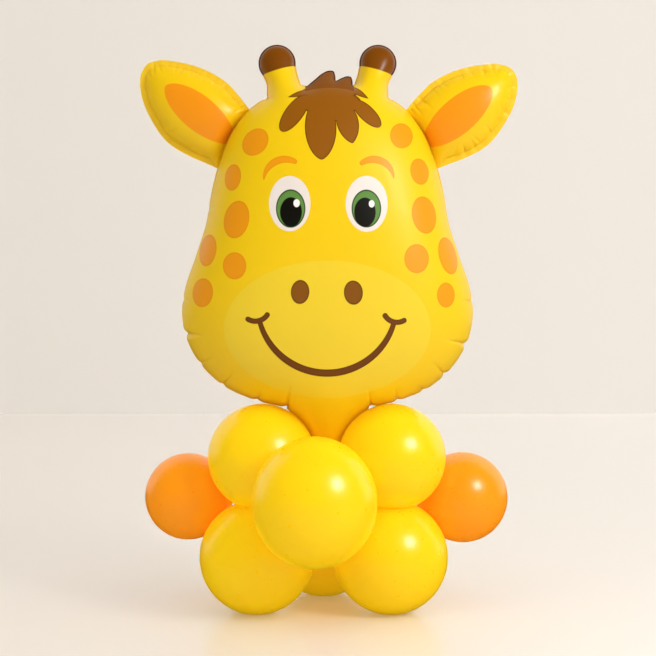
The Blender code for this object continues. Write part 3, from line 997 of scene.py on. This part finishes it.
# Printed petals: as the ovals, and how pointed the ends are (0.5 is an oval)
HAIR_LOBES = (
    (-0.0302, 0.4668, 0.0086, 0.0208, -35.0, 0.48),
    (-0.0062, 0.4527, 0.0143, 0.0295, 1.8, 0.62),
    (0.0182, 0.4581, 0.0101, 0.0204, 12.6, 0.75),
    (0.0360, 0.4663, 0.0073, 0.0172, 45.0, 0.48),
    (-0.0215, 0.4866, 0.0030, 0.0155, -73.1, 1.00),
    (0.0250, 0.4889, 0.0034, 0.0152, 57.0, 1.00),
)
# Printed strokes: centre and radius of the arc, the middle and half of its span in degrees
# from straight down, half width, and how that grows along it and fades to both ends
SMILE = (
    (-0.0004, 0.2926, 0.0630, 0.0, 73.5, 0.0034, 0.0, -0.0011),
    (-0.0656, 0.2904, 0.0133, 13.2, 43.0, 0.0024, 0.0, 0.0),
    (0.0632, 0.2890, 0.0129, -14.5, 44.0, 0.0024, 0.0, 0.0),
)
BROWS = (
    (-0.0385, 0.4045, 0.0192, 209.2, 57.0, 0.0033, -0.0008, -0.0019),
    (0.0418, 0.4053, 0.0183, 155.7, 60.0, 0.0033, 0.0008, -0.0019),
)
# The brown ends of the horns: the height of their lower edge, its slope outwards, and how
# far from the middle it has that height
HORN_CAP = (0.5143, -0.277, 0.0305)
# The brown tuft: the height of its foot, how much that drops to the sides, and the middle
# and half of its width. The horns' brown starts this far from the middle.
TUFT_FOOT = 0.4912
TUFT_ARCH = 6.0
TUFT_SPAN = (0.0020, 0.0226)
HORN_INNER = 0.0247
# Gathers at the weld: their scale, and how slowly they change inwards
GATHER_SCALE = 170.0
GATHER_DRAW = 0.25
# Scale and depth in metres of the slow waves, the crinkle and the dents under heavy ink
WAVES = (16.0, 0.0008)
CRINKLE = (110.0, 0.000045)
DENTS = (95.0, 0.0022)
# Scale of the smears, and how much they change the roughness
SMEARS = (30.0, 0.08)


def local_place(group, given):
    """The place on the print, centred, turned upright and laid flat, in metres."""
    off = group.nodes.new("ShaderNodeVectorMath")
    off.operation = "SUBTRACT"
    feed(given["Place"], off.inputs[0])
    feed(given["Centre"], off.inputs[1])
    turn = group.nodes.new("ShaderNodeVectorRotate")
    turn.rotation_type = "Y_AXIS"
    feed_all(turn, {"Vector": Field(group, off.outputs["Vector"]), "Angle": given["Tilt"]})
    x, _, z = split(Field(group, turn.outputs["Vector"]))
    return x, z


def print_group(name, *ins):
    """An empty group for one kind of printed shape. It puts out how far inside its edge a
    place lies, in metres."""
    placed = (("Place", "Vector", None), ("Centre", "Vector", None), ("Tilt", "Float", 0.0))
    sized = tuple((label, "Float", value) for label, value in ins)
    group, given, put = new_group(name, placed + sized, (("Inset", "Float"),))
    return group, given, put, *local_place(group, given)


def make_print_oval():
    group, given, put, x, z = print_group("print_oval", ("Half Width", 0.01), ("Half Height", 0.01))
    wide, high = given["Half Width"], given["Half Height"]
    reach = ((x / wide) ** 2.0 + (z / high) ** 2.0).root()
    feed((1.0 - reach) * wide.least(high), put["Inset"])
    return group


def make_print_petal():
    """An oval drawn out at both ends: the larger Point is, the sharper they are."""
    group, given, put, x, z = print_group(
        "print_petal", ("Half Width", 0.01), ("Half Height", 0.01), ("Point", 0.5)
    )
    wide, high, point = given["Half Width"], given["Half Height"], given["Point"]
    share = z / high
    left = (1.0 - share * share).most(0.0001)
    side = left**point * wide
    slope = side * point * 2.0 * share / left / high
    slant = (slope * slope + 1.0).root()
    across = (side - abs(x)) / slant
    feed(across.least(high - abs(z)), put["Inset"])
    return group


def make_print_stroke():
    """A stroke along an arc, with round ends. It can grow along its way and fade to its ends."""
    group, given, put, x, z = print_group(
        "print_stroke",
        ("Radius", 0.01),
        ("Half Span", 1.0),
        ("Half Width", 0.001),
        ("Growth", 0.0),
        ("Fade", 0.0),
    )
    radius, span = given["Radius"], given["Half Span"]
    down = -z
    held = x.math("ARCTAN2", down).most(-span).least(span)
    off_x = x - radius * held.math("SINE")
    off_z = down - radius * held.math("COSINE")
    gap = (off_x**2.0 + off_z**2.0).root()
    share = held / span
    side = share * given["Growth"] + given["Half Width"] + share * share * given["Fade"]
    feed(side - gap, put["Inset"])
    return group


def make_film_folds():
    """Foil's own surface: fine gathers that run in from the weld, a slow waviness, and a
    trace of crinkle. The height is in metres."""
    group, given, put = new_group(
        "film_folds",
        (
            ("Place", "Vector", None),
            ("Inset", "Float", 0.0),
            ("Along", "Float", 0.0),
            ("Gather", "Float", 0.0006),
            ("Reach", "Float", 0.008),
            ("Roughness", "Float", 0.3),
            ("Crumple", "Float", 0.0),
        ),
        (("Height", "Float"), ("Roughness", "Float")),
    )
    place = given["Place"]
    inset = given["Inset"].most(0.0)
    strip = group.nodes.new("ShaderNodeCombineXYZ")
    feed_all(strip, {"X": given["Along"], "Y": inset * GATHER_DRAW})
    gather = noise(Field(group, strip.outputs["Vector"]), GATHER_SCALE, 1.5) - 0.5
    fade = (-(inset / given["Reach"])).math("EXPONENT")
    drawn = gather * (fade * given["Gather"])
    wave = noise(place, WAVES[0], 1.0) * WAVES[1]
    crinkle = noise(place, CRINKLE[0], 3.0) * CRINKLE[1]
    dents = noise(place, DENTS[0], 1.0) * DENTS[1] * given["Crumple"]
    smear = noise(place, SMEARS[0], 3.0) - 0.5
    feed(drawn + (wave + crinkle) + dents, put["Height"])
    feed(smear * SMEARS[1] + given["Roughness"], put["Roughness"])
    return group


print_oval = make_print_oval()
print_petal = make_print_petal()
print_stroke = make_print_stroke()
film_folds = make_film_folds()


class FilmPrint:
    """A film's material as it is built up: each colour of ink is laid over the last."""

    def __init__(self, name, ground):
        self.material, self.tree, self.shader = new_material(name)
        self.place = object_place(self.tree)
        self.colour = ground
        self.shine = 0.0

    def shape(self, group, x, z, tilt, **values):
        """One printed shape, from its middle and its tilt in degrees."""
        sized = {label.replace("_", " "): value for label, value in values.items()}
        placed = {"Place": self.place, "Centre": (HEAD_X + x, 0.0, z), "Tilt": radians(tilt)}
        return use_group(self.tree, group, placed | sized)["Inset"]

    def ovals(self, rows):
        return [
            self.shape(print_oval, x, z, tilt, Half_Width=wide, Half_Height=high)
            for x, z, wide, high, tilt in rows
        ]

    def petals(self, rows):
        return [
            self.shape(print_petal, x, z, tilt, Half_Width=wide, Half_Height=high, Point=point)
            for x, z, wide, high, tilt, point in rows
        ]

    def strokes(self, rows):
        insets = []
        for x, z, radius, middle, span, wide, growth, fade in rows:
            arc = {"Radius": radius, "Half_Span": radians(span)}
            line = {"Half_Width": wide, "Growth": growth, "Fade": fade}
            insets.append(self.shape(print_stroke, x, z, middle, **arc, **line))
        return insets

    def lay(self, ink, insets, within=None, rim=None, rim_width=RIM_WIDTH, gloss=0.0):
        """Prints an ink wherever one of the shapes is, with an outline of a darker ink,
        inside another mask where one is given. gloss is how much smoother the ink is, and
        less than 0 for a matt ink."""
        inset = insets[0]
        for other in insets[1:]:
            inset = inset.most(other)
        mask = inset.math("MULTIPLY_ADD", 1.0 / PRINT_EDGE, 0.5, clamp=True)
        if within is not None:
            mask = mask * within
        if rim is not None:
            deep = inset - rim_width
            ink = mix(deep.math("MULTIPLY_ADD", 0.5 / PRINT_EDGE, 0.5, clamp=True), rim, ink)
        self.colour = mix(mask, self.colour, ink)
        if gloss:
            self.shine = mask * gloss + self.shine

    def finish(self, weld_sheen_share, gather, reach, roughness):
        """The film's surface under the inks. One share sets how much paler its weld strip is
        painted, a painted sheen for its shine.
        """
        inset = attribute(self.tree, "inset")
        if weld_sheen_share:
            # Painted sheen: the weld strip is painted paler, standing for its shine.
            self.colour = mix(inset.below(0.0) * weld_sheen_share, self.colour, WELD_PAINTED_SHEEN)
        folds = use_group(
            self.tree,
            film_folds,
            {
                "Place": self.place,
                "Inset": inset,
                "Along": attribute(self.tree, "along"),
                "Gather": gather,
                "Reach": reach,
                "Roughness": roughness,
                "Crumple": abs(self.shine),
            },
        )
        feed_all(
            self.shader,
            {
                "Base Color": self.colour,
                "Roughness": folds["Roughness"] - self.shine,
                "Normal": bump(folds["Height"], 1.0, 1.0),
                "Specular IOR Level": 0.45,
                "Coat Weight": 0.04,
                "Coat Roughness": 0.08,
            },
        )
        return self.material


def make_head_print():
    """The face, spots, hair and horn ends. The face is on the front alone, and the rest is
    printed on the back too."""
    film = FilmPrint("head_print", YELLOW_FILM)
    x, y, level = split(film.place)
    across = abs(x - HEAD_X)
    in_front = y.below(SEAM_Y)
    film.lay(MUZZLE_YELLOW, film.ovals((MUZZLE,)), in_front)
    film.lay(SPOT_ORANGE, film.ovals(SPOTS), None, SPOT_EDGE)
    film.lay(SPOT_ORANGE, film.strokes(BROWS), in_front, SPOT_EDGE)
    film.lay(EYE_WHITE, film.ovals(EYE_WHITES), in_front)
    film.lay(IRIS_GREEN, film.ovals(IRISES), in_front, IRIS_EDGE, IRIS_RIM_WIDTH)
    film.lay(PUPIL_BLACK, film.ovals(PUPILS), in_front)
    film.lay(GLINT_WHITE, film.ovals(GLINTS), in_front)
    film.lay(NOSTRIL_BROWN, film.ovals(NOSTRILS), in_front, OUTLINE_AND_WELD_SHADE_BROWN)
    film.lay(SMILE_BROWN, film.strokes(SMILE), in_front, OUTLINE_AND_WELD_SHADE_BROWN)
    film.lay(HAIR_BROWN, film.ovals(HAIR_ROOTS) + film.petals(HAIR_LOBES), None, OUTLINE_AND_WELD_SHADE_BROWN)
    weld_edge = -attribute(film.tree, "inset")
    middle, half_width = TUFT_SPAN
    aside = x - (HEAD_X + middle)
    foot = level + aside * aside * TUFT_ARCH - TUFT_FOOT
    tuft = foot.least(half_width - abs(aside))
    film.lay(TUFT_BROWN, [tuft], gloss=-0.40)
    # Painted shade: the tuft's weld strip is coloured dark brown, standing for the shade along its
    # edge.
    film.lay(OUTLINE_AND_WELD_SHADE_BROWN, [tuft.least(weld_edge)])
    cap_level, cap_slope, cap_inner = HORN_CAP
    cap_edge = (across - cap_inner) * cap_slope + cap_level
    cap = (level - cap_edge).least(across - HORN_INNER)
    film.lay(HORN_BROWN, [cap], gloss=0.14)
    # Painted shade: the horn ends' weld strip is coloured dark brown, standing for the shade along
    # its edge.
    film.lay(OUTLINE_AND_WELD_SHADE_BROWN, [cap.least(weld_edge)])
    return film.finish(weld_sheen_share=0.0, gather=0.0003, reach=0.006, roughness=0.45)


head = place_piece(
    "head_film",
    film_form(
        head_outline(), HEAD_WELD, HEAD_CELL, HEAD_DEPTH, SEAM_Y, HEAD_CREASES, lean=head_lean
    ),
    make_head_print(),
)
head.data.set_sharp_from_angle(angle=RIM_ANGLE)
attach(head, "root")
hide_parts("foil_head")


# The ears
# Each is a small foil pillow of its own, with a flat weld wide enough to show, taped
# behind the head's weld at its root.

EAR_LENGTH = 0.1092
EAR_WIDTH = 0.0786
EAR_DEPTH = 0.0380
EAR_WELD = 0.0055
# The weld is narrow at the root, and as wide as elsewhere this far out from the head
EAR_ROOT_WELD = 0.0010
EAR_ROOT_REACH = (0.0030, 0.0110)
EAR_SOFTNESS = 1.3
EAR_RISE = {"ear_left": radians(38.4), "ear_right": radians(35.6)}
EAR_TAB_INSET = -0.0014
EAR_BEHIND = 0.0013
# The stretch of the head's side that carries the root, as shares of the head's height
EAR_ROOT = (0.745, 0.930)
EAR_EDGE_STEP = 0.0012
EAR_CELL = 0.0018
# The leaf's outline from its root's top round its tip, as shares of length and width
EAR_SHAPE = (
    (0.200, 0.445), (0.350, 0.478), (0.500, 0.460), (0.640, 0.408), (0.800, 0.305),
    (0.930, 0.185), (0.990, 0.060), (0.985, -0.060), (0.940, -0.170), (0.860, -0.280),
    (0.670, -0.430), (0.440, -0.520), (0.230, -0.490), (0.080, -0.435),
)


def ear_outline(way, rise):
    """The outer edge of an ear's weld. way is 1 for the right ear and -1 for the left."""
    side = np.array(curve_through(head_side(), EAR_EDGE_STEP))
    level = (side[:, 1] - CHIN_Z) / HEAD_HEIGHT
    run = np.gradient(side, axis=0)
    outward = np.stack([run[:, 1], -run[:, 0]], axis=1) / np.linalg.norm(run, axis=1)[:, None]
    tab = side + outward * EAR_TAB_INSET
    tab = tab[(level > EAR_ROOT[0]) & (level < EAR_ROOT[1])]
    root = curve_through(tab, EAR_EDGE_STEP)
    middle = (tab[0] + tab[-1]) / 2
    along = np.array((cos(rise), sin(rise)))
    across = np.array((-sin(rise), cos(rise)))
    leaf = [tuple(middle + u * EAR_LENGTH * along + v * EAR_WIDTH * across) for u, v in EAR_SHAPE]
    edge = curve_through([root[-1]] + leaf + [root[0]], EAR_EDGE_STEP)
    loop = joined(root, edge)[:-1]
    return [(way * x, z) for x, z in loop]


def ear_welds(outline):
    """How wide the weld is at each point of an ear's outline: narrow at the root."""
    side = head_side()
    edge = np.abs(np.array(outline))
    beyond = distance_to(edge, side + [(0.0, side[-1][1]), (0.0, side[0][1])])
    near, far = EAR_ROOT_REACH
    share = np.clip((beyond - near) / (far - near), 0, 1)
    return EAR_ROOT_WELD + (EAR_WELD - EAR_ROOT_WELD) * share


# Small gathers run in from an ear's weld: their step, reach and depth, how slanted they
# are, how deep the mild ones are as a share, and where they start and end as shares of the
# outline, with its root first
EAR_GATHER_STEP = 0.0100
EAR_GATHER_REACH = 0.0130
EAR_GATHER_DEPTH = 0.0012
EAR_GATHER_SLANT = 0.35
EAR_GATHER_MILD = 0.4
EAR_GATHER_SPAN = (0.19, 0.985)
# They start this far in on the weld, as a share of it, and their depths, reaches and steps
# vary between these shares
EAR_GATHER_START = 0.8
EAR_DEPTHS = (0.35, 1.0)
EAR_REACHES = (0.6, 1.2)
EAR_STEPS = (0.5, 1.7)
# For each ear the stretch where they are deep, and the seed of their unevenness
EAR_GATHERS = {"ear_left": (0.20, 0.60, 11), "ear_right": (0.20, 0.98, 5)}


def ear_creases(outline, low, high, seed):
    """Short creases in from the weld, all round but for the root, uneven in depth."""
    drawn = np.random.default_rng(seed)
    edge = np.array(outline)
    inwards = ways_in(edge)
    passed, whole = passed_lengths(edge)
    rows = []
    first, last = EAR_GATHER_SPAN
    place = first * whole
    while place < whole * last:
        here = np.searchsorted(passed, place) - 1
        inward = inwards[here]
        slant = drawn.uniform(-EAR_GATHER_SLANT, EAR_GATHER_SLANT)
        slanted = inward + np.array((-inward[1], inward[0])) * slant
        strength = 1.0 if low < place / whole < high else EAR_GATHER_MILD
        depth = EAR_GATHER_DEPTH * strength * drawn.uniform(*EAR_DEPTHS)
        start = edge[here] + inward * EAR_WELD * EAR_GATHER_START
        end = start + slanted * EAR_GATHER_REACH * drawn.uniform(*EAR_REACHES)
        rows.append((*start, *end, depth))
        place += EAR_GATHER_STEP * drawn.uniform(*EAR_STEPS)
    return rows


# The orange inside of each ear: a printed petal, as those of the hair
EAR_PATCHES = {
    "ear_left": (-0.1197, 0.4692, 0.0162, 0.0404, 50.8, 0.58),
    "ear_right": (0.1221, 0.4669, 0.0165, 0.0400, -49.2, 0.55),
}
EAR_YELLOW = (0.93, 0.60, 0.006)
EAR_ORANGE = (0.93, 0.315, 0.006)


def make_ear_print(name):
    """Yellow film with an orange patch on the front, and a weld painted a little paler as a painted
    sheen.
    """
    film = FilmPrint(name + "_print", EAR_YELLOW)
    in_front = split(film.place)[1].below(SEAM_Y + EAR_BEHIND)
    film.lay(EAR_ORANGE, film.petals((EAR_PATCHES[name],)), in_front)
    return film.finish(weld_sheen_share=0.12, gather=0.00025, reach=0.006, roughness=0.32)


for name, rise in EAR_RISE.items():
    outline = ear_outline(-1 if name == "ear_left" else 1, rise)
    form = film_form(
        outline,
        ear_welds(outline),
        EAR_CELL,
        EAR_DEPTH,
        SEAM_Y + EAR_BEHIND,
        ear_creases(outline, *EAR_GATHERS[name]),
        softness=EAR_SOFTNESS,
    )
    ear = place_piece(name + "_film", form, make_ear_print(name))
    ear.data.set_sharp_from_angle(angle=RIM_ANGLE)
    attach(ear, "root")
    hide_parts(name)
